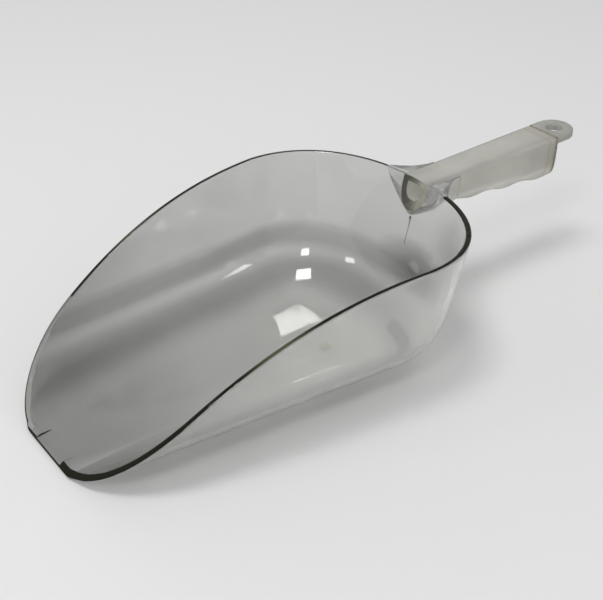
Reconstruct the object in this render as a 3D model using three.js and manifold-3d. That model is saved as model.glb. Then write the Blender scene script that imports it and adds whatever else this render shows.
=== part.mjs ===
// Feed scoop: a clear moulded bowl carried by a frosted, hollow, D-section handle.
//
// Millimetres, +Z up. The scoop stands on Z = 0 and is symmetrical about Y = 0. +X runs from the
// scraping lip towards the handle. Lengths below are counted from the lip; the whole scoop is then
// moved along X so that the origin is at the middle of its footprint.
import * as THREE from "three";
import { LoftGeometry } from "three/addons/geometries/LoftGeometry.js";
import { mergeVertices } from "three/addons/utils/BufferGeometryUtils.js";
import Module from "manifold-3d";

// Bowl, seen from above at the height of its rim.
const BOWL_LENGTH = 231;
const BOWL_HALF_WIDTH = 76;
const MOUTH_HALF_WIDTH = 61.5;
const BACK_LENGTH = 61;
const BACK_SQUARENESS = 2.2;

// Bowl, seen from the side.
const RIM_HEIGHT = 77;
const RIM_RUN = 177;
const RIM_POWER = 2.3;
const LIP_THICKNESS = 1;

// Bowl wall: drafted sides that turn into the floor through a large elliptical corner.
const WALL = 2.8;
const SIDE = { draft: 6.6, reach: 38.5, rise: 38.7 };
const BACK = { draft: 15.9, reach: 37.4, rise: 33.9 };
const LIP_BEVEL = { length: 10, halfWidth: 12, thickness: 1.2 };

// Handle frame: u runs along the flat top from the rim to the end, w up from that top.
const HANDLE_START = 228.5;
const HANDLE_TOP = 77.5;
const HANDLE_SLOPE_DEGREES = 1.33;

// Grip: half-width, depth and squareness of its D section at the bowl and at the far end.
const GRIP_LENGTH = 98.5;
const GRIP_HALF_WIDTH = [9.6, 11.2];
const GRIP_DEPTH = [17.7, 26.4];
const GRIP_SQUARENESS = [2.4, 5];
const GROOVE_PITCH = 26;
const GROOVE_DEPTH = 0.8;
const FIRST_RIDGE = 36.5;
const GRIP_SIDE_WALL = 3.6;
const GRIP_TOP_WALL = 2.6;
const HOLLOW_DEPTH = [9.4, 18.5];

// Socket: a flare from the back of the bowl down to the grip.
const SOCKET_LENGTH = 22;
const SOCKET_HALF_WIDTH = [24.5, 11.2];
const SOCKET_DEPTH = [20, 19.2];
const SOCKET_SQUARENESS = [1.25, 2.6];
const SOCKET_SET_DOWN = 0.8;

// End plug with its hanging tab.
const PLUG_DEPTH = 8;
const PLUG_FLANGE = 2;
const TAB_LENGTH = 19.5;
const TAB_THICKNESS = 4.5;
const TAB_EYE_RADIUS = 4.8;

// Clearance between neighbouring pieces, and how far a cutting body runs past what it cuts.
const GAP = 0.3;
const PAST = 30;

const TOTAL_LENGTH = HANDLE_START + GRIP_LENGTH + GAP + PLUG_FLANGE + TAB_LENGTH;

const wasm = await Module();
wasm.setup();

const { lerp, clamp, degToRad } = THREE.MathUtils;

// A closed three.js geometry as a solid that can be joined and cut.
function solid(geometry) {
  const bare = geometry.index ? geometry.toNonIndexed() : geometry.clone();
  bare.deleteAttribute("normal");
  bare.deleteAttribute("uv");
  const merged = mergeVertices(bare, 1e-4);
  return new wasm.Manifold(
    new wasm.Mesh({
      numProp: 3,
      vertProperties: merged.attributes.position.array,
      triVerts: new Uint32Array(merged.index.array),
    }),
  );
}

// A solid as a named mesh of its own.
function piece(name, body, look) {
  const mesh = body.getMesh();
  const geometry = new THREE.BufferGeometry();
  geometry.setAttribute("position", new THREE.BufferAttribute(mesh.vertProperties, 3));
  geometry.setIndex(new THREE.BufferAttribute(mesh.triVerts, 1));
  const made = new THREE.Mesh(geometry, new THREE.MeshStandardMaterial(look));
  made.name = name;
  return made;
}

function loft(sections) {
  return new LoftGeometry(sections, { capStart: true, capEnd: true });
}

// Point at an angle on the rounded rectangle |x/a|^n + |y/b|^n = 1.
function superellipse(angle, a, b, squareness) {
  const power = 2 / squareness;
  const round = (value) => Math.sign(value) * Math.abs(value) ** power;
  return [a * round(Math.cos(angle)), b * round(Math.sin(angle))];
}

// How far a face of the wall stands in from the plan outline at a height. The outside has a wall
// depth of 0, and the inside a depth of WALL, with a corner that much smaller.
function inset(height, corner, wall) {
  const draft = (RIM_HEIGHT - height) * Math.tan(degToRad(corner.draft));
  const turn = clamp(1 - (height - wall) / (corner.rise - wall), 0, 1);
  return draft + wall + (corner.reach - wall) * (1 - Math.sqrt(1 - turn * turn));
}

// Plan outline of the bowl's outside (wall 0) or inside at a height, anticlockwise from above.
// It runs on past the lip, where the rim cut ends the bowl.
function bowlOutline(height, wall) {
  const fromSide = inset(height, SIDE, wall);
  const fromBack = inset(height, BACK, wall);
  const start = BOWL_LENGTH - BACK_LENGTH;
  const taper = (BOWL_HALF_WIDTH - MOUTH_HALF_WIDTH) / start;
  const front = MOUTH_HALF_WIDTH - taper * PAST - fromSide;
  const outline = [new THREE.Vector3(-PAST, -front, height)];
  const steps = 40;
  for (let i = 0; i <= steps; i += 1) {
    const angle = Math.PI * (i / steps - 0.5);
    const [x, y] = superellipse(
      angle,
      BACK_LENGTH - fromBack,
      BOWL_HALF_WIDTH - fromSide,
      BACK_SQUARENESS,
    );
    outline.push(new THREE.Vector3(start + x, y, height));
  }
  outline.push(new THREE.Vector3(-PAST, front, height));
  return outline;
}

// The solid within one face of the bowl's wall, from the floor to well above the rim.
function bowlBody(wall) {
  const heights = [];
  const cornerSteps = 10;
  for (let i = 0; i <= cornerSteps; i += 1) {
    heights.push(lerp(SIDE.rise, wall, Math.cos((Math.PI / 2) * (i / cornerSteps))));
  }
  heights.push(RIM_HEIGHT + PAST);
  return solid(loft(heights.map((height) => bowlOutline(height, wall))));
}

// A prism across the bowl with the given side outline.
function acrossBowl(points, halfWidth) {
  const shape = new THREE.Shape(points.map(([x, z]) => new THREE.Vector2(x, z)));
  const prism = new THREE.ExtrudeGeometry(shape, { depth: 2 * halfWidth, bevelEnabled: false });
  prism.rotateX(Math.PI / 2);
  prism.translate(0, halfWidth, 0);
  return solid(prism);
}

// Everything above the rim: the rim climbs steeply from the lip and levels out towards the back.
function aboveRim() {
  const points = [[-2 * PAST, -PAST], [0, -PAST]];
  const steps = 28;
  for (let i = 0; i <= steps; i += 1) {
    const x = (RIM_RUN * i) / steps;
    const climb = 1 - (1 - x / RIM_RUN) ** RIM_POWER;
    points.push([x, lerp(LIP_THICKNESS, RIM_HEIGHT, climb)]);
  }
  const end = BOWL_LENGTH + PAST;
  points.push([end, RIM_HEIGHT], [end, RIM_HEIGHT + 2 * PAST], [-2 * PAST, RIM_HEIGHT + 2 * PAST]);
  return acrossBowl(points, BOWL_HALF_WIDTH + PAST);
}

// The scraping edge: the floor thins towards the lip over the width that touches the bin.
function lipBevel() {
  const { length, halfWidth, thickness } = LIP_BEVEL;
  return acrossBowl([[-1, thickness], [length, WALL], [length, 2 * WALL], [-1, 2 * WALL]], halfWidth);
}

// D section with a flat top, in the handle frame: u along, v across, w up from the flat top.
function dSection(u, top, halfWidth, depth, squareness) {
  const section = [];
  const steps = 26;
  for (let i = 0; i <= steps; i += 1) {
    const [v, w] = superellipse((-Math.PI * i) / steps, halfWidth, depth, squareness);
    section.push(new THREE.Vector3(u, v, top + Math.min(w, 0)));
  }
  return section.reverse();
}

const handleFrame = new THREE.Matrix4()
  .makeTranslation(HANDLE_START, 0, HANDLE_TOP)
  .multiply(new THREE.Matrix4().makeRotationY(-degToRad(HANDLE_SLOPE_DEGREES)));

function inHandleFrame(geometry) {
  return solid(geometry.applyMatrix4(handleFrame));
}

// Sizes of the grip's outside at a distance along it. Shallow finger grooves cross its underside
// from the end of the socket onwards.
function gripSize(u) {
  const along = u / GRIP_LENGTH;
  const wave = Math.cos((2 * Math.PI * (u - FIRST_RIDGE)) / GROOVE_PITCH);
  const fadeIn = clamp(u / SOCKET_LENGTH, 0, 1);
  return {
    halfWidth: lerp(...GRIP_HALF_WIDTH, along),
    depth: lerp(...GRIP_DEPTH, along) + GROOVE_DEPTH * wave * fadeIn,
    squareness: lerp(...GRIP_SQUARENESS, clamp(along, 0, 1)),
  };
}

function gripOutside(from, to, steps, grow = 0) {
  const sections = [];
  for (let i = 0; i <= steps; i += 1) {
    const u = lerp(from, to, i / steps);
    const { halfWidth, depth, squareness } = gripSize(u);
    sections.push(dSection(u, grow, halfWidth + grow, depth + 2 * grow, squareness));
  }
  return loft(sections);
}

// The grip's hollow, or the plug that fits it once shrunk: straight-sided, with no grooves.
function gripHollow(from, to, shrink = 0) {
  const section = (u) => {
    const { halfWidth, squareness } = gripSize(u);
    return dSection(
      u,
      -GRIP_TOP_WALL - shrink,
      halfWidth - GRIP_SIDE_WALL - shrink,
      lerp(...HOLLOW_DEPTH, u / GRIP_LENGTH) - 2 * shrink,
      squareness,
    );
  };
  return loft([section(from), section(lerp(from, to, 0.5)), section(to)]);
}

function socketFlare() {
  const sections = [];
  const steps = 10;
  for (let i = -3; i <= steps; i += 1) {
    const along = i / steps;
    const flare = (1 - clamp(along, 0, 1)) ** 2;
    sections.push(
      dSection(
        SOCKET_LENGTH * along,
        -SOCKET_SET_DOWN,
        lerp(SOCKET_HALF_WIDTH[1], SOCKET_HALF_WIDTH[0], flare),
        lerp(SOCKET_DEPTH[1], SOCKET_DEPTH[0], flare),
        lerp(SOCKET_SQUARENESS[1], SOCKET_SQUARENESS[0], flare),
      ),
    );
  }
  return loft(sections);
}

// Hanging tab: as wide as the grip, flush with its flat top, with a round end and a round eye.
function hangingTab(start) {
  const halfWidth = GRIP_HALF_WIDTH[1];
  const centre = start + TAB_LENGTH - halfWidth;
  const shape = new THREE.Shape();
  shape.moveTo(start - 1, -halfWidth);
  shape.lineTo(centre, -halfWidth);
  shape.absarc(centre, 0, halfWidth, -Math.PI / 2, Math.PI / 2, false);
  shape.lineTo(start - 1, halfWidth);
  shape.closePath();
  const eye = new THREE.Path();
  eye.absarc(centre, 0, TAB_EYE_RADIUS, 0, 2 * Math.PI, true);
  shape.holes.push(eye);
  const tab = new THREE.ExtrudeGeometry(shape, {
    depth: TAB_THICKNESS,
    bevelEnabled: false,
    curveSegments: 16,
  });
  return tab.translate(0, 0, -TAB_THICKNESS);
}

const inside = bowlBody(WALL);
const handleHole = inHandleFrame(gripOutside(-PAST, PAST, 20, GAP));

const bowl = bowlBody(0)
  .subtract(inside)
  .subtract(aboveRim())
  .subtract(lipBevel())
  .subtract(handleHole);

const socket = inHandleFrame(socketFlare()).subtract(bowlBody(-GAP)).subtract(handleHole);

const grip = inHandleFrame(gripOutside(-PAST, GRIP_LENGTH, 42))
  .subtract(inHandleFrame(gripHollow(-PAST - 1, GRIP_LENGTH + 1)))
  .subtract(inside);

const flangeStart = GRIP_LENGTH + GAP;
const flangeEnd = flangeStart + PLUG_FLANGE;
const endPlug = inHandleFrame(gripOutside(flangeStart, flangeEnd, 1))
  .add(inHandleFrame(gripHollow(GRIP_LENGTH - PLUG_DEPTH, flangeStart + 1, GAP)))
  .add(inHandleFrame(hangingTab(flangeEnd)));

const clear = { color: 0xb9bab5, roughness: 0.05, metalness: 0, transparent: true, opacity: 0.4 };
const frosted = { color: 0xc4c4bf, roughness: 0.55, metalness: 0, transparent: true, opacity: 0.75 };

const scoop = new THREE.Group();
scoop.add(
  piece("bowl", bowl, clear),
  piece("handle_socket", socket, clear),
  piece("grip", grip, frosted),
  piece("end_plug", endPlug, frosted),
);
scoop.position.x = -TOTAL_LENGTH / 2;

export default scoop;
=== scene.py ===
import math

import bmesh
import bpy
import numpy as np
from mathutils import Matrix, Quaternion, Vector


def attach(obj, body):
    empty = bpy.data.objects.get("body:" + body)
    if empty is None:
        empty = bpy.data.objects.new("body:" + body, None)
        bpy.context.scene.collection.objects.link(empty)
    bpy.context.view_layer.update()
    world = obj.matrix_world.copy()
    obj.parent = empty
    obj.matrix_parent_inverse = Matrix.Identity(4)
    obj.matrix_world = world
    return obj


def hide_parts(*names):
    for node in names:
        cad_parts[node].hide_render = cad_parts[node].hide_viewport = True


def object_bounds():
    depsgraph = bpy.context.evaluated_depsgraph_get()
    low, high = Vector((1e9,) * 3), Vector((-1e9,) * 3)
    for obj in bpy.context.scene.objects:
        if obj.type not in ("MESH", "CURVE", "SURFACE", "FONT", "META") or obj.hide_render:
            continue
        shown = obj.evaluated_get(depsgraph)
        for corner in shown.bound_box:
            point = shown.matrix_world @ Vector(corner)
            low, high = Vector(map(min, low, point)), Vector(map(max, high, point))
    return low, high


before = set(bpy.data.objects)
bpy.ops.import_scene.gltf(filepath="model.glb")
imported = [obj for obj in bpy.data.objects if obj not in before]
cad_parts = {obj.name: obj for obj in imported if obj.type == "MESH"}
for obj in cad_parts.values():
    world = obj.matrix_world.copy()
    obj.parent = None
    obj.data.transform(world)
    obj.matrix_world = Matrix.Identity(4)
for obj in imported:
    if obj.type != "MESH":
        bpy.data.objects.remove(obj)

cad_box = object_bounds()

# ------------------------------------------------------------------------------------------- bowl
# The bowl is one thin trough of clear, faintly smoke-grey polycarbonate, injection moulded on a
# polished tool. Its drafted walls turn into the floor through large corners, its rim is rounded
# over, and its front ends in a short straight scraping lip. Sizes are millimetres from the lip.

RIM_HEIGHT = 77.0
RIM_RUN = 177.0
RIM_POWER = 2.3
LIP_THICKNESS = 1.0
WALL = 2.8
SIDE = {"draft": 6.6, "reach": 38.5, "rise": 38.7}
BACK = {"draft": 15.9, "reach": 37.4, "rise": 33.9}
BACK_START = 170.0
BACK_LENGTH = 61.0
BACK_SQUARENESS = 2.2
BOWL_HALF_WIDTH = 76.0
MOUTH_HALF_WIDTH = 61.5
RIM_ROUND = 0.9
CREASE_DEGREES = 35

lip_x = cad_box[0].x


def in_scene(points):
    """Millimetres counted from the lip, as metres in the scoop's own frame."""
    return np.asarray(points, dtype=float) * 0.001 + (lip_x, 0.0, 0.0)


def wall_inset(height, corner, wall):
    """How far a face of the wall stands in from the rim's outline at a height."""
    turn = np.clip(1 - (height - wall) / (corner["rise"] - wall), 0, 1)
    draft = (RIM_HEIGHT - height) * math.tan(math.radians(corner["draft"]))
    return draft + wall + (corner["reach"] - wall) * (1 - np.sqrt(1 - turn**2))


def rim_height(x):
    """The rim climbs steeply from the lip and levels out towards the back."""
    left = np.clip(1 - x / RIM_RUN, 0, 1)
    return LIP_THICKNESS + (RIM_HEIGHT - LIP_THICKNESS) * (1 - left**RIM_POWER)


def rounded(value, power):
    """A cosine or sine bent towards a squarer curve, its sign kept."""
    return np.sign(value) * np.abs(value) ** power


def wall_point(station, height, wall):
    """Where a face of the wall stands at a height, at a distance along the side or round the back."""
    part, where = station
    from_side = wall_inset(height, SIDE, wall)
    if part == "side":
        taper = (BOWL_HALF_WIDTH - MOUTH_HALF_WIDTH) / BACK_START
        return where + 0 * height, MOUTH_HALF_WIDTH + taper * where - from_side
    from_back = wall_inset(height, BACK, wall)
    power = 2 / BACK_SQUARENESS
    x = BACK_START + (BACK_LENGTH - from_back) * rounded(math.cos(where), power)
    return x, (BOWL_HALF_WIDTH - from_side) * rounded(math.sin(where), power)


def wall_line(station, wall):
    """A line up one face of the wall: middle of the floor, corner, drafted wall and rim."""
    top = RIM_HEIGHT
    for _ in range(6):
        top = float(rim_height(wall_point(station, np.float64(top), wall)[0]))
    floor = min(wall, top)
    rise = SIDE["rise"]
    last = math.acos(max(0.0, 1 - max(0.0, top - wall) / (rise - wall)))
    turn = np.linspace(0, last, 70)
    heights = wall + (rise - wall) * (1 - np.cos(turn))
    if top > rise:
        heights = np.append(heights, np.linspace(rise, top, 40)[1:])
    x, y = wall_point(station, heights, wall)
    line = np.column_stack([x, y, np.minimum(heights, top)])
    spine = (min(station[1], BACK_START) if station[0] == "side" else BACK_START, 0.0, floor)
    return np.vstack([spine, line])


def along(line, count, cut=0.0):
    """Even points along a line, whose far end is first shortened."""
    steps = np.linalg.norm(np.diff(line, axis=0), axis=1)
    reached = np.concatenate([[0], np.cumsum(steps)])
    wanted = np.linspace(0, reached[-1] - cut, count)
    return np.column_stack([np.interp(wanted, reached, line[:, k]) for k in range(3)])


def turned_over(line, other, count):
    """A line up the wall with its corner at the rim rounded over towards the other face."""
    corner = line[-1]
    across = other[-1] - corner
    width = np.linalg.norm(across)
    across = across / width
    down = line[-5] - corner
    down = down / max(np.linalg.norm(down), 1e-9)
    half = 0.5 * math.acos(float(np.clip(down @ across, -1, 1)))
    cut = float(np.clip(RIM_ROUND / math.tan(half), 0.02 * width, 0.42 * width))
    face = along(line, count, cut)
    start, end = face[-1], corner + across * cut
    arc = [
        (1 - t) ** 2 * start + 2 * t * (1 - t) * corner + t**2 * end
        for t in (0.18, 0.36, 0.52, 0.68, 0.84, 1.0)
    ]
    return np.vstack([face, arc])


def shaded(mesh):
    """Smooth shading that stops at real edges."""
    mesh.shade_smooth()
    mesh.set_sharp_from_angle(angle=math.radians(CREASE_DEGREES))


def smooth_piece(name, bm):
    """A finished mesh as an object: faces outwards, smooth but for its real edges."""
    bmesh.ops.remove_doubles(bm, verts=bm.verts, dist=2e-6)
    bmesh.ops.dissolve_degenerate(bm, edges=bm.edges, dist=1e-7)
    bmesh.ops.recalc_face_normals(bm, faces=bm.faces)
    mesh = bpy.data.meshes.new(name)
    bm.to_mesh(mesh)
    bm.free()
    shaded(mesh)
    made = bpy.data.objects.new(name, mesh)
    bpy.context.scene.collection.objects.link(made)
    return made


def quilt(rows, closed=False):
    """A bmesh of quads over rows of points, each row as long as the next."""
    bm = bmesh.new()
    grid = [[bm.verts.new(p) for p in in_scene(row)] for row in rows]
    for row, after in zip(grid, grid[1:]):
        pairs = list(zip(row, row[1:], after[1:], after))
        if closed:
            pairs.append((row[-1], row[0], after[0], after[-1]))
        for quad in pairs:
            bm.faces.new(quad)
    return bm, grid


def fitted(target, tool, operation):
    """Joins a second body to a piece or cuts it away, and uses that body up."""
    modifier = target.modifiers.new("fit", "BOOLEAN")
    modifier.operation = operation
    modifier.solver = "MANIFOLD"
    modifier.object = tool
    graph = bpy.context.evaluated_depsgraph_get()
    mesh = bpy.data.meshes.new_from_object(target.evaluated_get(graph))
    target.modifiers.clear()
    old, name = target.data, target.name
    target.data = mesh
    bpy.data.meshes.remove(old)
    mesh.name = name
    bpy.data.objects.remove(tool)
    shaded(mesh)
    return target


ROUND_THE_BACK = [("back", math.pi / 2 * (1 - i / 84)) for i in range(85)]


def trough(name):
    """The whole bowl before its fittings: profile lines from the lip, round the back and forward."""
    side = [("side", BACK_START * (i / 96) ** 1.2) for i in range(96)]
    half = []
    for station in side + ROUND_THE_BACK:
        inner, outer = wall_line(station, WALL), wall_line(station, 0.0)
        half.append(np.vstack([turned_over(inner, outer, 60), turned_over(outer, inner, 60)[::-1]]))
    mirror = [row * (1, -1, 1) for row in half[-2::-1]]
    bm, grid = quilt(half + mirror)
    bm.faces.new(grid[0] + grid[-1][::-1])
    return smooth_piece(name, bm)


def capped(name, rows):
    """A closed body over a run of rings, with a face across each end."""
    bm, grid = quilt(rows, closed=True)
    bm.faces.new(grid[0])
    bm.faces.new(grid[-1])
    return smooth_piece(name, bm)


def low_dome(name, centre, radii, rise):
    """A shallow oval pip on the floor, such as the trimmed stub where the plastic flowed in."""
    rows = []
    for swell, height in ((1.0, -1.0), (1.0, 0.0), (0.97, 0.6), (0.86, 0.9), (0.6, 1.0), (0.1, 1.0)):
        level = WALL + (height * rise if height > 0 else height * 0.8)
        ring = np.linspace(0, 2 * math.pi, 36, endpoint=False)
        x = centre[0] + radii[0] * swell * np.cos(ring)
        y = centre[1] + radii[1] * swell * np.sin(ring)
        rows.append(np.column_stack([x, y, 0 * x + level]))
    return capped(name, rows)


def hairline(name, start, end, facing, width, depth):
    """A thin bar sunk in a wall along a line, to cut a flow mark with."""
    start, end, facing = (np.array(v, dtype=float) for v in (start, end, facing))
    run = (end - start) / np.linalg.norm(end - start)
    side = np.cross(run, facing) / np.linalg.norm(np.cross(run, facing)) * width / 2
    out = facing / np.linalg.norm(facing)
    rings = []
    for point, share in ((start, 1.0), (end, 0.5)):
        low, high = point - out * depth * share, point + out * 1.2
        rings.append([low - side * 0.4, low + side * 0.4, high + side, high - side])
    return capped(name, rings)


bowl = trough("bowl_shell")
LIP_STEP = [(-1, 1.2), (7.5, 2.3), (8.6, WALL + 0.02), (8.6, 6), (-1, 6)]
LIP_STEP_SIDES = (-12, 12)
lip_step = capped("lip_step", [[(x, y, z) for x, z in LIP_STEP] for y in LIP_STEP_SIDES])
fitted(bowl, lip_step, "DIFFERENCE")
GATE_MARK = (158.0, -10.0)
fitted(bowl, low_dome("gate_mark", GATE_MARK, (3.5, 3.0), 0.25), "UNION")
KNIT_TOP, KNIT_END = (222.6, -3.0, 56.6), (218.3, -3.9, 42.0)
BACK_WALL_FACING = (-0.95, 0, 0.3)
knit_line = hairline("knit_line", KNIT_TOP, KNIT_END, BACK_WALL_FACING, width=0.5, depth=0.4)
fitted(bowl, knit_line, "DIFFERENCE")


# The clear finish is polycarbonate with a light smoke tint. Its colour carries painted shade: darker
# towards the lip and in bands where the walls turn into the floor, for the darker surroundings that
# the curved plastic refracts and mirrors.


def put(nodes, kind, **values):
    """A shader node with its settings and input values filled in."""
    node = nodes.new(kind)
    for key, value in values.items():
        if key in node.inputs:
            node.inputs[key].default_value = value
        else:
            setattr(node, key, value)
    return node


def graded(material, source, stops):
    """A ramp over a value from 0 to 1: pairs of place and brightness or colour."""
    ramp = material.node_tree.nodes.new("ShaderNodeValToRGB")
    while len(ramp.color_ramp.elements) < len(stops):
        ramp.color_ramp.elements.new(0.5)
    for stop, (where, shade) in zip(ramp.color_ramp.elements, stops):
        stop.position = where
        stop.color = (shade, shade, shade, 1) if isinstance(shade, float) else (*shade, 1)
    material.node_tree.links.new(source, ramp.inputs["Fac"])
    return ramp.outputs["Color"]


def times(material, first, second):
    """Two colours multiplied."""
    nodes, links = material.node_tree.nodes, material.node_tree.links
    blend = put(nodes, "ShaderNodeMix", data_type="RGBA", blend_type="MULTIPLY")
    blend.inputs[0].default_value = 1
    links.new(first, blend.inputs[6])
    links.new(second, blend.inputs[7])
    return blend.outputs[2]


def ranged(material, source, start, end, low=0.0, high=1.0):
    """A value carried from one range to another, and held at the ends."""
    span = put(material.node_tree.nodes, "ShaderNodeMapRange")
    for label, value in (("From Min", start), ("From Max", end), ("To Min", low), ("To Max", high)):
        span.inputs[label].default_value = value
    material.node_tree.links.new(source, span.inputs["Value"])
    return span.outputs["Result"]


def banded(material, axis, stops):
    """A ramp along an axis of the scoop: pairs of place in millimetres and brightness or colour."""
    source = material.node_tree.nodes["axes"].outputs[axis]
    origin = lip_x if axis == "X" else 0.0
    first, last = stops[0][0], stops[-1][0]
    share = ranged(material, source, origin + first * 0.001, origin + last * 0.001)
    return graded(material, share, [((at - first) / (last - first), shade) for at, shade in stops])


def moulded_plastic(name, tint, clearness, roughness, mottle=0.02, smoke=0.0):
    """Polycarbonate: a tint with faint flow clouds, fine handling scuffs and a see-through body."""
    material = bpy.data.materials.new(name)
    material.use_nodes = True
    nodes, links = material.node_tree.nodes, material.node_tree.links
    shader = nodes["Principled BSDF"]
    shader.inputs["IOR"].default_value = 1.586
    shader.inputs["Transmission Weight"].default_value = clearness
    place = put(nodes, "ShaderNodeTexCoord", name="place")
    axes = put(nodes, "ShaderNodeSeparateXYZ", name="axes")
    links.new(place.outputs["Object"], axes.inputs["Vector"])
    clouds = put(nodes, "ShaderNodeTexNoise", Scale=28, Detail=4)
    links.new(place.outputs["Object"], clouds.inputs["Vector"])
    dim = tuple(c * (1 - mottle) for c in tint)
    full = tuple(min(1.0, c * (1 + mottle)) for c in tint)
    colour = graded(material, clouds.outputs["Fac"], ((0.3, dim), (0.7, full)))
    scuffs = put(nodes, "ShaderNodeTexNoise", Scale=240, Detail=6)
    links.new(place.outputs["Object"], scuffs.inputs["Vector"])
    rough = ranged(material, scuffs.outputs["Fac"], 0.35, 0.65, roughness * 0.8, roughness * 1.3)
    links.new(rough, shader.inputs["Roughness"])
    links.new(colour, shader.inputs["Base Color"])
    if smoke:
        absorb = put(nodes, "ShaderNodeVolumeAbsorption", Color=(0.5, 0.5, 0.48, 1), Density=smoke)
        links.new(absorb.outputs[0], nodes["Material Output"].inputs["Volume"])
    return material


def recoloured(material, factors):
    """Multiplies a material's colour by further ramps."""
    shader = material.node_tree.nodes["Principled BSDF"]
    colour = shader.inputs["Base Color"].links[0].from_socket
    for factor in factors:
        colour = times(material, colour, factor)
    material.node_tree.links.new(colour, shader.inputs["Base Color"])


def around(material, centre, radii):
    """Distance from a place, counted in the radii of a soft oval patch, from 0 to 1."""
    nodes, links = material.node_tree.nodes, material.node_tree.links
    centre = in_scene(centre)
    radii = np.array(radii) * 0.001
    shift, shrink = tuple(-centre / radii), tuple(1 / radii)
    patch = put(nodes, "ShaderNodeMapping", Location=shift, Scale=shrink)
    links.new(nodes["place"].outputs["Object"], patch.inputs["Vector"])
    length = put(nodes, "ShaderNodeVectorMath", operation="LENGTH")
    links.new(patch.outputs["Vector"], length.inputs[0])
    return length.outputs["Value"]


clear = moulded_plastic(
    "clear_polycarbonate", (0.98, 0.98, 0.96), clearness=0.83, roughness=0.007, smoke=17
)
# Painted shade on the far wall and floor: darker bands by height, where the walls turn into the
# floor.
far_painted_shade_bands = banded(
    clear,
    "Z",
    (
        (0.0, 1.0),
        (2.9, 0.98),
        (5.5, 0.82),
        (8.5, 0.62),
        (14.0, 0.58),
        (20.0, 0.74),
        (25.5, 0.45),
        (31.0, 0.48),
        (37.0, 0.74),
        (77.0, 0.76),
    ),
)
# Painted shade on the far wall, darker towards the lip.
far_painted_shade_to_lip = banded(
    clear,
    "X",
    ((0.0, 0.49), (30.0, 0.56), (60.0, 0.72), (94.7, 0.89), (129.4, 0.95), (161.7, 1.0)),
)
# Painted shade on the near wall: its own darker bands by height, and darker towards the lip.
near_painted_shade_bands = banded(
    clear,
    "Z",
    ((0.0, 1.0), (2.8, 0.98), (6.2, 0.6), (10.0, 0.62), (14.6, 0.9), (38.5, 0.94)),
)
near_painted_shade_to_lip = banded(clear, "X", ((0.0, 0.8), (46.2, 0.85), (97.0, 0.98), (138.6, 1.0)))
# Masks for the near wall and the floor's edge, which pick the near wall's painted shade over the far
# wall's.
near_side = banded(clear, "Y", ((-45.5, 1.0), (-17.5, 0.0)))
near_floor = banded(clear, "Z", ((2.9, 0.6), (6.0, 0.0)))
nearness = put(clear.node_tree.nodes, "ShaderNodeMath", operation="MAXIMUM")
clear.node_tree.links.new(near_side, nearness.inputs[0])
clear.node_tree.links.new(near_floor, nearness.inputs[1])
walls = put(clear.node_tree.nodes, "ShaderNodeMix", data_type="RGBA", blend_type="MIX")
clear.node_tree.links.new(nearness.outputs[0], walls.inputs[0])
clear.node_tree.links.new(times(clear, far_painted_shade_bands, far_painted_shade_to_lip), walls.inputs[6])
clear.node_tree.links.new(times(clear, near_painted_shade_bands, near_painted_shade_to_lip), walls.inputs[7])
# Two painted shade patches darken the back corner, low and high, where dark surroundings show through
# the wall.
low_corner = around(clear, (215, -20, 35), (26, 38, 14))
low_corner_painted_shade = graded(clear, low_corner, ((0.0, 0.42), (0.35, 0.5), (1.0, 1.0)))
high_corner = around(clear, (214, -44, 58), (30, 26, 27))
high_corner_painted_shade = graded(clear, high_corner, ((0.0, 0.62), (0.4, 0.72), (1.0, 1.0)))
recoloured(clear, (walls.outputs[2], low_corner_painted_shade, high_corner_painted_shade))

# The rim's painted dark shade line, for the dark surroundings its polished edge refracts; lighter
# olive along a near stretch.
rim_painted_dark_line = moulded_plastic("rim_painted_dark_line", (0.1, 0.098, 0.06), clearness=0.0, roughness=0.3)
olive_stretch = banded(rim_painted_dark_line, "X", ((69.3, 0.12), (83.2, 0.8), (92.4, 0.8), (110.9, 0.12)))
recoloured(rim_painted_dark_line, (olive_stretch,))
rim_painted_dark_line.node_tree.nodes["Principled BSDF"].inputs["Specular IOR Level"].default_value = 0.04
gate_tint = moulded_plastic("gate_stub", (0.5, 0.5, 0.36), clearness=0.6, roughness=0.2)
knit_tint = moulded_plastic("knit_line", (0.05, 0.05, 0.04), clearness=0.6, roughness=0.2)
# A painted shade line low on the near wall's outside.
painted_under_shade = moulded_plastic("painted_under_shade", (0.3, 0.3, 0.28), clearness=0.75, roughness=0.05)
# A painted highlight on the far rim's inner rounding near the lip.
rim_painted_highlight = moulded_plastic("rim_painted_highlight", (0.4, 0.4, 0.38), clearness=0.6, roughness=0.15)


def finished(made, materials, node):
    """Gives a piece its materials and its place among the scoop's bodies."""
    made.data.materials.clear()
    for material in materials:
        made.data.materials.append(material)
    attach(made, "root")
    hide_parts(node)


# The handle passes through a notch in the bowl's back wall, cut to the grip's section.

HANDLE_START = 228.5
HANDLE_TOP = 77.5
HANDLE_SLOPE = math.radians(1.33)
GRIP_LENGTH = 98.5
GRIP_HALF_WIDTH = (9.6, 11.2)
GRIP_DEPTH = (17.7, 26.4)
GRIP_SQUARENESS = (2.4, 5.0)
GROOVE_PITCH = 26.0
GROOVE_DEPTH = 0.8
FIRST_RIDGE = 36.5
GROOVE_FADE = 22.0
GAP = 0.3


def mix(pair, share):
    """A value part of the way from the first of a pair to the second."""
    return pair[0] + (pair[1] - pair[0]) * share


def on_handle(points):
    """From the handle's frame, which slopes up a little, to millimetres from the lip."""
    u, v, w = np.asarray(points, dtype=float).T
    cos, sin = math.cos(HANDLE_SLOPE), math.sin(HANDLE_SLOPE)
    return np.column_stack([HANDLE_START + u * cos - w * sin, v, HANDLE_TOP + u * sin + w * cos])


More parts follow.
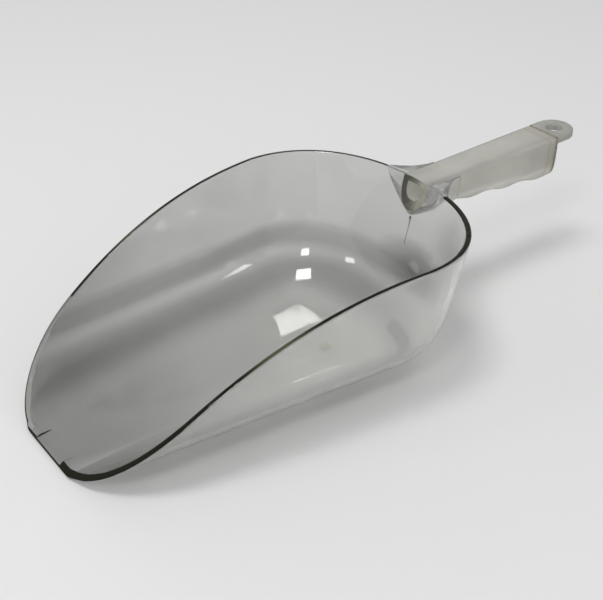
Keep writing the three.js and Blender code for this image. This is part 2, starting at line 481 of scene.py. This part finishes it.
def d_section(u, top, half_width, depth, squareness, edge=0.0):
    """One D section across the handle, with its two upper edges rounded by a radius."""
    angle = -np.linspace(0, math.pi, 160)
    power = 2 / squareness
    v = half_width * rounded(np.cos(angle), power)
    w = np.minimum(depth * rounded(np.sin(angle), power), 0)
    under = np.column_stack([0 * v + u, v, w])
    reach, bend = half_width, []
    if edge:
        under = under[under[:, 2] <= -edge]
        reach = abs(under[0, 1])
        under = np.vstack([[u, reach, -edge], under, [u, -reach, -edge]])
        bend = np.linspace(0, math.pi / 2, 6)[1:]
    inner = reach - edge
    left = [(u, -inner - edge * math.cos(t), -edge + edge * math.sin(t)) for t in bend]
    right = [(u, -v, w) for _, v, w in left[:0:-1]]
    flat = [(u, v, 0.0) for v in np.linspace(-inner, inner, 14)[1:-1]]
    ring = np.vstack([along(under, 46), left + flat + right])
    ring[:, 2] += top
    return ring


def tube(name, sections):
    """A closed body through a run of sections, capped at both ends."""
    return capped(name, [on_handle(ring) for ring in sections])


def grip_size(u):
    """The sizes of the grip's section at a distance along the handle."""
    share = u / GRIP_LENGTH
    wave = math.cos(2 * math.pi * (u - FIRST_RIDGE) / GROOVE_PITCH)
    fade = min(max(u / GROOVE_FADE, 0), 1)
    return {
        "half_width": mix(GRIP_HALF_WIDTH, share),
        "depth": mix(GRIP_DEPTH, share) + GROOVE_DEPTH * wave * fade,
        "squareness": mix(GRIP_SQUARENESS, min(max(share, 0), 1)),
    }


def grip_section(u, grow, edge=0.0):
    """One section of the grip's outside, grown or shrunk all round."""
    size = grip_size(u)
    half_width, depth = size["half_width"] + grow, size["depth"] + 2 * grow
    return d_section(u, grow, half_width, depth, size["squareness"], edge)


def grip_passage():
    """The grip's front stretch, larger by the gap, which cuts its way through the clear pieces."""
    return tube("grip_passage", [grip_section(u, GAP) for u in np.linspace(-30, 30, 51)])


fitted(bowl, grip_passage(), "DIFFERENCE")

# The bowl's rim and lip edges carry a painted dark shade line, with a painted highlight on the far
# rim near the lip and a painted shade line low on the near wall; its moulding marks differ in colour
# from its walls. A zone is a place along the bowl and a half width across it, and the other pairs are
# where a stretch starts and ends.

STEP_ZONE = (9.0, 12.5)
STEP_EDGE_HEIGHT = 1.2
SOCKET_ZONE = (190.0, 23.0)
RIM_BAND = 0.7
BROAD_RIM_BAND = 1.1
BROAD_BAND_START = 60.0
NEAR_THIN_EDGE = (40.0, 190.0)
FAR_PALE_STRIP = (3.0, 48.0)
PALE_STRIP_DEPTH = 0.5
GATE_TINT_RADIUS = 3.4
KNIT_TINT_HALF_WIDTH = 0.5
UNDER_EDGE_HEIGHT = (5.5, 9.5)
UNDER_EDGE_START = 12.0
UNDER_EDGE_SIDE = -20.0

bowl_looks = (clear, rim_painted_dark_line, gate_tint, knit_tint, rim_painted_highlight, painted_under_shade)
knit_top = np.array(KNIT_TOP)
knit_run = np.array(KNIT_END) - knit_top


def knit_tinted(spot):
    """Whether a spot lies on the knit line or right beside it."""
    reach = (spot - knit_top) @ knit_run / (knit_run @ knit_run)
    return 0 < reach < 1 and np.linalg.norm(spot - knit_top - reach * knit_run) < KNIT_TINT_HALF_WIDTH


def bowl_look(face):
    """Which of the bowl's looks a face has, from its place and from the way it leans: from -1,
    towards the bowl's middle, through 0, straight up or down, to 1, outwards."""
    spot = (np.array(face.center) - (lip_x, 0, 0)) * 1000
    x, y, z = spot
    outwards = np.array([max(x - BACK_START, 0) / BACK_LENGTH, y / BOWL_HALF_WIDTH, 0])
    leaning = np.array(face.normal) @ outwards / max(np.linalg.norm(outwards), 1e-6)
    near, far = y < 0, y > 0

    # The lip's front and the step's far side wall get the rim's painted dark line.
    front_of_lip = x < 1.0 and face.normal.x < -0.5
    in_step = x < STEP_ZONE[0] and abs(y) < STEP_ZONE[1]
    side_of_step = in_step and far and face.normal.y < -0.6 and z > STEP_EDGE_HEIGHT
    if front_of_lip or side_of_step:
        return rim_painted_dark_line
    if in_step:
        return clear

    # Rim faces above the band's bottom get the painted dark line; how far across the rim it reaches
    # depends on side and stretch.
    whole_edge = near and not NEAR_THIN_EDGE[0] <= x <= NEAR_THIN_EDGE[1]
    pale_strip = far and x < FAR_PALE_STRIP[1]
    from_inside = -2 if whole_edge else 0.02 if pale_strip else -0.25
    to_outside = 0.5 if near and not whole_edge else 0.8
    rim_bottom = rim_height(x) - (BROAD_RIM_BAND if x > BROAD_BAND_START else RIM_BAND)
    in_socket = x > SOCKET_ZONE[0] and abs(y) < SOCKET_ZONE[1]
    if z > rim_bottom and from_inside < leaning < to_outside and not in_socket:
        return rim_painted_dark_line
    # The painted highlight strip along the far rim near the lip.
    in_strip = pale_strip and x > FAR_PALE_STRIP[0] and z > rim_bottom - PALE_STRIP_DEPTH
    if in_strip and leaning > -0.9:
        return rim_painted_highlight

    if math.hypot(x - GATE_MARK[0], y - GATE_MARK[1]) < GATE_TINT_RADIUS and z > WALL + 0.02:
        return gate_tint
    if knit_tinted(spot):
        return knit_tint
    # The painted shade line goes on faces turned down, low on the near wall.
    low_on_wall = UNDER_EDGE_HEIGHT[0] < z < UNDER_EDGE_HEIGHT[1] and y < UNDER_EDGE_SIDE
    if low_on_wall and x > UNDER_EDGE_START and face.normal.z < -0.2:
        return painted_under_shade
    return clear


finished(bowl, bowl_looks, "bowl")
for face in bowl.data.polygons:
    face.material_index = bowl_looks.index(bowl_look(face))

# --------------------------------------------------------------------------------- handle socket
# A flared collar of the same clear polycarbonate stands behind the bowl and carries the grip. Its
# front face follows the bowl's back wall, and it is open along the top, where the grip lies flush.

SOCKET_LENGTH = 22.0
SOCKET_HALF_WIDTH = (24.5, 11.2)
SOCKET_DEPTH = (20.0, 19.2)
SOCKET_SQUARENESS = (1.25, 2.6)
SOCKET_SET_DOWN = 0.8
MIDDLE_OF_BOWL = 100.0


def bowl_body(name, wall):
    """The solid within one face of the bowl's wall, from its floor to well above its rim."""
    turn = np.linspace(0, math.pi / 2, 28)
    heights = list(SIDE["rise"] + (wall - SIDE["rise"]) * np.cos(turn))
    heights += [60.0, RIM_HEIGHT, 110.0]
    rows = []
    for height in heights:
        level = np.float64(height)
        half = [(*wall_point(station, level, wall), height) for station in ROUND_THE_BACK]
        side = wall_point(("side", MIDDLE_OF_BOWL), level, wall)
        half = [(MIDDLE_OF_BOWL, side[1], height)] + half
        rows.append(np.array(half + [(x, -y, z) for x, y, z in half[-2::-1]]))
    return capped(name, rows)


def socket_flare(name):
    """The collar's outside, widest at the bowl and easing down to the grip."""
    sections = []
    for i in range(-6, 41):
        share = i / 40
        flare = (1 - min(max(share, 0), 1)) ** 2
        sections.append(
            d_section(
                SOCKET_LENGTH * share,
                -SOCKET_SET_DOWN,
                mix(SOCKET_HALF_WIDTH[::-1], flare),
                mix(SOCKET_DEPTH[::-1], flare),
                mix(SOCKET_SQUARENESS[::-1], flare),
            )
        )
    return tube(name, sections)


socket = socket_flare("socket_collar")
fitted(socket, bowl_body("back_of_bowl", -GAP), "DIFFERENCE")
fitted(socket, grip_passage(), "DIFFERENCE")
collar = moulded_plastic(
    "collar_polycarbonate", (0.94, 0.94, 0.92), clearness=0.9, roughness=0.03, smoke=10
)
finished(socket, (collar,), "handle_socket")

# ------------------------------------------------------------------------------------------- grip
# The grip is a hollow D-section tube, frosted by the mould's grained face, with a flat top for the
# palm and shallow finger grooves below. It runs through the socket and the bowl's back wall. Its
# skin follows one rule along its length, so Geometry Nodes shape it.

GRIP_SIDE_WALL = 3.6
GRIP_TOP_WALL = 2.6
HOLLOW_DEPTH = (9.4, 18.5)
GRIP_EDGE = 1.2
MOUTH_LENGTH = 3.0
FAR_EDGE_WIDTH = 1.3
GRAIN_SCALE = 900
GRAIN_STRENGTH = 0.2
GRAIN_HEIGHT = 0.00006
GRIP_SIZES = {
    "Length": GRIP_LENGTH,
    "Half width at bowl": GRIP_HALF_WIDTH[0],
    "Half width at end": GRIP_HALF_WIDTH[1],
    "Depth at bowl": GRIP_DEPTH[0],
    "Depth at end": GRIP_DEPTH[1],
    "Squareness at bowl": GRIP_SQUARENESS[0],
    "Squareness at end": GRIP_SQUARENESS[1],
    "Groove pitch": GROOVE_PITCH,
    "Groove depth": GROOVE_DEPTH,
    "First ridge": FIRST_RIDGE,
    "Groove fade": GROOVE_FADE,
    "Edge round": GRIP_EDGE,
    "Side wall": GRIP_SIDE_WALL,
    "Top wall": GRIP_TOP_WALL,
    "Hollow depth at bowl": HOLLOW_DEPTH[0],
    "Hollow depth at end": HOLLOW_DEPTH[1],
}


def grip_blank(name):
    """The tube as a closed sleeve of quads that knows, at each point, how far along it lies, its
    angle round the section, and whether it is on the outside (0) or in the hollow (1)."""
    outside = [(u, 0.0) for u in np.linspace(-29, GRIP_LENGTH, 112)]
    hollow = [(u, 1.0) for u in np.linspace(GRIP_LENGTH, -29, 60)]
    turn = np.linspace(0, 2 * math.pi, 96, endpoint=False)
    sleeve = outside + hollow
    points = []
    for u, inside in sleeve:
        radius = 10 - 4 * inside
        points += [(u, radius * math.cos(t), radius * math.sin(t)) for t in turn]
    faces = []
    for i in range(len(sleeve)):
        for j in range(len(turn)):
            a, b = i * len(turn), (i + 1) % len(sleeve) * len(turn)
            k = (j + 1) % len(turn)
            faces.append((a + j, a + k, b + k, b + j))
    mesh = bpy.data.meshes.new(name)
    mesh.from_pydata(points, [], faces)
    for label, values in (
        ("along", [u for u, _ in sleeve for _ in turn]),
        ("turn", [t for _ in sleeve for t in turn]),
        ("hollow", [inside for _, inside in sleeve for _ in turn]),
    ):
        mesh.attributes.new(label, "FLOAT", "POINT").data.foreach_set("value", values)
    made = bpy.data.objects.new(name, mesh)
    bpy.context.scene.collection.objects.link(made)
    return made


def grip_rule():
    """The node tree that shapes the sleeve: a D section that deepens, squares up and is grooved."""
    tree = bpy.data.node_groups.new("grip_rule", "GeometryNodeTree")
    tree.interface.new_socket("Geometry", in_out="INPUT", socket_type="NodeSocketGeometry")
    tree.interface.new_socket("Geometry", in_out="OUTPUT", socket_type="NodeSocketGeometry")
    for label, value in GRIP_SIZES.items():
        socket_in = tree.interface.new_socket(label, in_out="INPUT", socket_type="NodeSocketFloat")
        socket_in.default_value = value
    tree.interface.new_socket("Material", in_out="INPUT", socket_type="NodeSocketMaterial")
    nodes, links = tree.nodes, tree.links
    given = nodes.new("NodeGroupInput").outputs

    def sum_of(operation, *values):
        step = nodes.new("ShaderNodeMath")
        step.operation = operation
        for slot_in, value in zip(step.inputs, values):
            if isinstance(value, (int, float)):
                slot_in.default_value = value
            else:
                links.new(value, slot_in)
        return step.outputs[0]

    def named(label):
        read = nodes.new("GeometryNodeInputNamedAttribute")
        read.data_type = "FLOAT"
        read.inputs["Name"].default_value = label
        return read.outputs["Attribute"]

    def between(first, last, share):
        return sum_of("MULTIPLY_ADD", share, sum_of("SUBTRACT", last, first), first)

    def clamped(value):
        return sum_of("MINIMUM", sum_of("MAXIMUM", value, 0.0), 1.0)

    u, turn, hollow = named("along"), named("turn"), named("hollow")
    share = sum_of("DIVIDE", u, given["Length"])
    half_width = sum_of(
        "SUBTRACT",
        between(given["Half width at bowl"], given["Half width at end"], share),
        sum_of("MULTIPLY", given["Side wall"], hollow),
    )
    phase = sum_of("DIVIDE", sum_of("SUBTRACT", u, given["First ridge"]), given["Groove pitch"])
    wave = sum_of("COSINE", sum_of("MULTIPLY", phase, 2 * math.pi))
    fade = clamped(sum_of("DIVIDE", u, given["Groove fade"]))
    groove = sum_of("MULTIPLY", sum_of("MULTIPLY", given["Groove depth"], wave), fade)
    outer = sum_of("ADD", between(given["Depth at bowl"], given["Depth at end"], share), groove)
    inner = between(given["Hollow depth at bowl"], given["Hollow depth at end"], share)
    depth = between(outer, inner, hollow)
    squareness = between(given["Squareness at bowl"], given["Squareness at end"], clamped(share))
    cosine, sine = sum_of("COSINE", turn), sum_of("SINE", turn)
    above = sum_of("GREATER_THAN", sine, 0.0)
    power = sum_of("DIVIDE", 2.0, between(squareness, 5.0, above))
    reach = sum_of("POWER", sum_of("ABSOLUTE", cosine), power)
    lift = sum_of("POWER", sum_of("ABSOLUTE", sine), power)
    v = sum_of("MULTIPLY", sum_of("MULTIPLY", reach, sum_of("SIGN", cosine)), half_width)
    below = sum_of("SUBTRACT", depth, given["Edge round"])
    tall = between(sum_of("MULTIPLY", below, -1.0), given["Edge round"], above)
    top = sum_of("ADD", sum_of("MULTIPLY", given["Top wall"], hollow), given["Edge round"])
    w = sum_of("SUBTRACT", sum_of("MULTIPLY", lift, tall), top)
    place = nodes.new("ShaderNodeCombineXYZ")
    for axis, value in zip("XYZ", (u, v, w)):
        links.new(sum_of("MULTIPLY", value, 0.001), place.inputs[axis])
    shaped = nodes.new("GeometryNodeSetPosition")
    links.new(given["Geometry"], shaped.inputs["Geometry"])
    links.new(place.outputs["Vector"], shaped.inputs["Position"])
    on_bowl = nodes.new("GeometryNodeTransform")
    on_bowl.inputs["Translation"].default_value = tuple(in_scene((HANDLE_START, 0, HANDLE_TOP)))
    on_bowl.inputs["Rotation"].default_value = (0, -HANDLE_SLOPE, 0)
    links.new(shaped.outputs["Geometry"], on_bowl.inputs["Geometry"])
    real = nodes.new("GeometryNodeRealizeInstances")
    links.new(on_bowl.outputs["Geometry"], real.inputs["Geometry"])
    dressed = nodes.new("GeometryNodeSetMaterial")
    links.new(real.outputs["Geometry"], dressed.inputs["Geometry"])
    links.new(given["Material"], dressed.inputs["Material"])
    links.new(dressed.outputs["Geometry"], nodes.new("NodeGroupOutput").inputs["Geometry"])
    return tree


def by_rule(made, tree, sizes, material):
    """Runs a node tree on a piece with its sizes, and keeps the result as a plain mesh."""
    modifier = made.modifiers.new("rule", "NODES")
    modifier.node_group = tree
    for item in tree.interface.items_tree:
        if item.in_out == "INPUT" and item.name in sizes:
            modifier[item.identifier] = sizes[item.name]
        elif item.in_out == "INPUT" and item.name == "Material":
            modifier[item.identifier] = material
    graph = bpy.context.evaluated_depsgraph_get()
    shaped = bpy.data.meshes.new_from_object(made.evaluated_get(graph))
    made.modifiers.clear()
    bm = bmesh.new()
    bm.from_mesh(shaped)
    name = made.name
    bpy.data.objects.remove(made)
    for label in ("along", "turn", "hollow"):
        bm.verts.layers.float.remove(bm.verts.layers.float[label])
    return smooth_piece(name, bm)


def grained(material):
    """A satin grain from the tool's etched face, as a fine bump."""
    nodes, links = material.node_tree.nodes, material.node_tree.links
    grain = put(nodes, "ShaderNodeTexNoise", Scale=GRAIN_SCALE, Detail=3)
    links.new(nodes["place"].outputs["Object"], grain.inputs["Vector"])
    bump = put(nodes, "ShaderNodeBump", Strength=GRAIN_STRENGTH, Distance=GRAIN_HEIGHT)
    links.new(grain.outputs["Fac"], bump.inputs["Height"])
    links.new(bump.outputs["Normal"], nodes["Principled BSDF"].inputs["Normal"])


frosted = moulded_plastic(
    "frosted_polycarbonate", (0.84, 0.83, 0.77), clearness=0.74, roughness=0.36, mottle=0.12
)
grained(frosted)
bond_stain = banded(
    frosted,
    "X",
    ((320.2, 1.0), (321.8, (0.86, 0.83, 0.74)), (324.4, 1.0), (328.0, (0.74, 0.7, 0.58))),
)
# Painted shade: a darker band along the grip's near top edge, where the top turns into the side.
near_top_edge_painted_shade = banded(
    frosted,
    "Y",
    ((-11.0, 1.0), (-9.9, 0.95), (-8.25, 0.8), (-5.5, 0.93), (0.0, 1.0)),
)
recoloured(frosted, (bond_stain, near_top_edge_painted_shade))
# A painted dark shade line along the grip's far top edge.
grip_far_line_painted_shade = moulded_plastic("far_top_edge_painted_shade", (0.3, 0.3, 0.27), clearness=0.6, roughness=0.4)
# Painted olive shade on the mouth where the grip enters the bowl, darkening towards the far side.
mouth_painted_ring = moulded_plastic("mouth_painted_ring", (0.72, 0.71, 0.58), clearness=0.65, roughness=0.15)
mouth_painted_shade = banded(
    mouth_painted_ring,
    "Y",
    ((-10.0, 0.9), (-4.0, 0.75), (0.0, 0.28), (4.0, 0.16), (10.0, 0.1)),
)
recoloured(mouth_painted_ring, (mouth_painted_shade,))

grip = by_rule(grip_blank("grip_tube"), grip_rule(), GRIP_SIZES, frosted)
fitted(grip, bowl_body("inside_of_bowl", WALL), "DIFFERENCE")
grip_looks = (frosted, mouth_painted_ring, grip_far_line_painted_shade)
finished(grip, grip_looks, "grip")
# The mouth ring gets painted shade, and the top faces by the far edge the painted dark line.
for face in grip.data.polygons:
    u = (face.center.x - lip_x) * 1000 - HANDLE_START
    far_edge = mix(GRIP_HALF_WIDTH, u / GRIP_LENGTH) - FAR_EDGE_WIDTH
    if u < MOUTH_LENGTH and face.normal.x < -0.5:
        face.material_index = grip_looks.index(mouth_painted_ring)
    elif face.normal.z > 0.1 and face.center.y * 1000 > far_edge:
        face.material_index = grip_looks.index(grip_far_line_painted_shade)

# --------------------------------------------------------------------------------------- end plug
# The plug is a separate moulding bonded into the grip's far end: a spigot inside the hollow, a
# flange against the end face, and a flat hanging tab, round at its end, with a round eye. The
# adhesive shows as a brown line round the joint.

PLUG_DEPTH = 8.0
PLUG_FLANGE = 2.0
TAB_LENGTH = 19.5
TAB_THICKNESS = 4.5
TAB_EYE = 4.8
TAB_ROUND = 0.9
TAB_OVERLAP = 0.3
SPIGOT_EDGE = 0.8


def hanging_tab(name, start):
    """A slab with a round end and a round eye, its edges rounded over."""
    half = GRIP_HALF_WIDTH[1]
    centre = start + TAB_LENGTH - half
    swing = np.linspace(-math.pi / 2, math.pi / 2, 49)
    turn = np.linspace(0, 2 * math.pi, 64, endpoint=False)
    edge = np.linspace(0, math.pi / 2, 6)
    rows = []
    down = [(TAB_ROUND * (1 - math.sin(t)), -TAB_ROUND * (1 - math.cos(t))) for t in edge]
    low = [(inset, -TAB_THICKNESS - w) for inset, w in down[::-1]]
    for inset, w in down + low:
        radius = half - inset
        ring = [(start - TAB_OVERLAP, -radius, w)]
        ring += [(centre + radius * math.cos(t), radius * math.sin(t), w) for t in swing]
        ring += [(start - TAB_OVERLAP, radius, w)]
        rows.append(on_handle(ring))
    slab = capped(name, rows)
    rows = []
    for inset, w in [(TAB_ROUND, 3.0)] + down + low + [(TAB_ROUND, -TAB_THICKNESS - 3)]:
        radius = TAB_EYE + inset
        ring = [(centre + radius * math.cos(t), radius * math.sin(t), w) for t in turn]
        rows.append(on_handle(ring))
    return fitted(slab, capped("eye", rows), "DIFFERENCE")


def flange(name, start, end):
    """A plate of the grip's own section, its edges eased a little on both faces."""
    sections = []
    for share, shrink in ((0, 0.3), (0.1, 0.1), (0.2, 0), (0.75, 0), (0.9, 0.1), (1, 0.35)):
        sections.append(grip_section(start + (end - start) * share, -shrink, GRIP_EDGE))
    return tube(name, sections)


def spigot(name, start, end):
    """The plug's inner end, which fills the grip's hollow but for the gap."""
    top = -GRIP_TOP_WALL - GAP
    sections = []
    for u in np.linspace(start, end, 25):
        size = grip_size(u)
        half_width = size["half_width"] - GRIP_SIDE_WALL - GAP
        depth = mix(HOLLOW_DEPTH, u / GRIP_LENGTH) - 2 * GAP
        sections.append(d_section(u, top, half_width, depth, size["squareness"], SPIGOT_EDGE))
    return tube(name, sections)


plug_start = GRIP_LENGTH + GAP
plug = flange("end_plug_and_tab", plug_start, plug_start + PLUG_FLANGE)
fitted(plug, spigot("spigot", GRIP_LENGTH - PLUG_DEPTH, plug_start + PLUG_FLANGE / 2), "UNION")
fitted(plug, hanging_tab("tab", plug_start + PLUG_FLANGE), "UNION")
plug_plastic = moulded_plastic(
    "plug_polycarbonate", (0.47, 0.47, 0.43), clearness=0.62, roughness=0.45, mottle=0.1
)
grained(plug_plastic)
bond = moulded_plastic("bond_line", (0.27, 0.235, 0.17), clearness=0.5, roughness=0.3, mottle=0.25)
plug_looks = (plug_plastic, bond)
finished(plug, plug_looks, "end_plug")
flange_end = HANDLE_START + plug_start + PLUG_FLANGE - 0.1
for face in plug.data.polygons:
    if (face.center.x - lip_x) * 1000 < flange_end:
        face.material_index = plug_looks.index(bond)

# ------------------------------------------------------------------------------------------ studio
# A plain pale floor, soft light from all round that is brightest near the horizon, a few small
# lamps that the polished bowl mirrors, and the camera.

FLOOR_HALF = 9.0
FLOOR_DROP = 0.0005
floor_corners = [(FLOOR_HALF * x, FLOOR_HALF * y, 0) for x, y in ((-1, -1), (1, -1), (1, 1), (-1, 1))]
floor_mesh = bpy.data.meshes.new("floor")
floor_mesh.from_pydata(floor_corners, [], [(0, 1, 2, 3)])
floor = bpy.data.objects.new("floor", floor_mesh)
bpy.context.scene.collection.objects.link(floor)
floor.location.z = -FLOOR_DROP
paint = bpy.data.materials.new("pale_floor")
paint.use_nodes = True
paint_shader = paint.node_tree.nodes["Principled BSDF"]
paint_shader.inputs["Base Color"].default_value = (0.8, 0.8, 0.8, 1)
paint_shader.inputs["Roughness"].default_value = 0.8
floor_mesh.materials.append(paint)

SKY = ((0.0, 0.8), (0.17, 1.0), (0.36, 1.0), (0.5, 0.75), (0.66, 0.36), (0.86, 0.34), (1.0, 0.6))
world = bpy.data.worlds.new("studio")
bpy.context.scene.world = world
world.use_nodes = True
world_nodes, world_links = world.node_tree.nodes, world.node_tree.links
direction = put(world_nodes, "ShaderNodeTexCoord")
split = put(world_nodes, "ShaderNodeSeparateXYZ")
world_links.new(direction.outputs["Generated"], split.inputs["Vector"])
sky = graded(world, split.outputs["Z"], SKY)
world_links.new(sky, world_nodes["Background"].inputs["Color"])
world_nodes["Background"].inputs["Strength"].default_value = 1.05


def soft_light(name, azimuth, elevation, distance, size, power, aim, turn=0):
    """A rectangular light in a direction from the scoop, turned towards it."""
    light = bpy.data.lights.new(name, "AREA")
    light.shape = "RECTANGLE"
    light.size, light.size_y = size
    light.energy = power
    made = bpy.data.objects.new(name, light)
    bpy.context.scene.collection.objects.link(made)
    az, el = math.radians(azimuth), math.radians(elevation)
    out = Vector((math.cos(az) * math.cos(el), math.sin(az) * math.cos(el), math.sin(el)))
    made.location = Vector(aim) + out * distance
    spin = Quaternion((0, 0, 1), math.radians(turn))
    made.rotation_mode = "QUATERNION"
    made.rotation_quaternion = out.to_track_quat("Z", "Y") @ spin


soft_light(
    "lamp_behind",
    azimuth=52.8,
    elevation=33.0,
    distance=1.6,
    size=(0.12, 0.1),
    power=0.27,
    aim=(-0.0134, 0.019, 0.0028),
    turn=22,
)
soft_light(
    "lamp_above",
    azimuth=-178,
    elevation=75.7,
    distance=1.5,
    size=(0.44, 0.4),
    power=6.5,
    aim=(0.0115, 0.044, 0.011),
    turn=45,
)
soft_light(
    "lamp_left",
    azimuth=-146.0,
    elevation=46.3,
    distance=1.5,
    size=(0.26, 0.26),
    power=2.4,
    aim=(0.0176, 0.0515, 0.0196),
    turn=15,
)
soft_light(
    "window_right",
    azimuth=-47.0,
    elevation=30.3,
    distance=1.4,
    size=(0.045, 0.16),
    power=0.1,
    aim=(-0.0174, 0.0605, 0.0194),
)
soft_light(
    "lamp_ring",
    azimuth=158.0,
    elevation=34.4,
    distance=1.4,
    size=(0.14, 0.14),
    power=0.42,
    aim=(0.0315, 0.027, 0.0213),
    turn=45,
)

CAMERA_AZIMUTH = math.radians(-37.5244)
CAMERA_ELEVATION = math.radians(33.0846)
CAMERA_ROLL = math.radians(0.7994)
CAMERA_DISTANCE = 0.5456
CAMERA_AIM = Vector((-0.032958, -0.011379, 0.038509))
camera_data = bpy.data.cameras.new("camera")
camera = bpy.data.objects.new("camera", camera_data)
bpy.context.scene.collection.objects.link(camera)
camera_data.sensor_width = 36
camera_data.lens = 63.36
camera_data.clip_start, camera_data.clip_end = 0.01, 50
away = Vector(
    (
        math.sin(CAMERA_AZIMUTH) * math.cos(CAMERA_ELEVATION),
        -math.cos(CAMERA_AZIMUTH) * math.cos(CAMERA_ELEVATION),
        math.sin(CAMERA_ELEVATION),
    )
)
level = Vector((math.cos(CAMERA_AZIMUTH), math.sin(CAMERA_AZIMUTH), 0))
upward = away.cross(level)
right = level * math.cos(CAMERA_ROLL) + upward * math.sin(CAMERA_ROLL)
top = -level * math.sin(CAMERA_ROLL) + upward * math.cos(CAMERA_ROLL)
camera.matrix_world = Matrix((
    (right.x, top.x, away.x, CAMERA_AIM.x + away.x * CAMERA_DISTANCE),
    (right.y, top.y, away.y, CAMERA_AIM.y + away.y * CAMERA_DISTANCE),
    (right.z, top.z, away.z, CAMERA_AIM.z + away.z * CAMERA_DISTANCE),
    (0, 0, 0, 1),
))
bpy.context.scene.camera = camera
bpy.context.scene.view_settings.view_transform = "Standard"
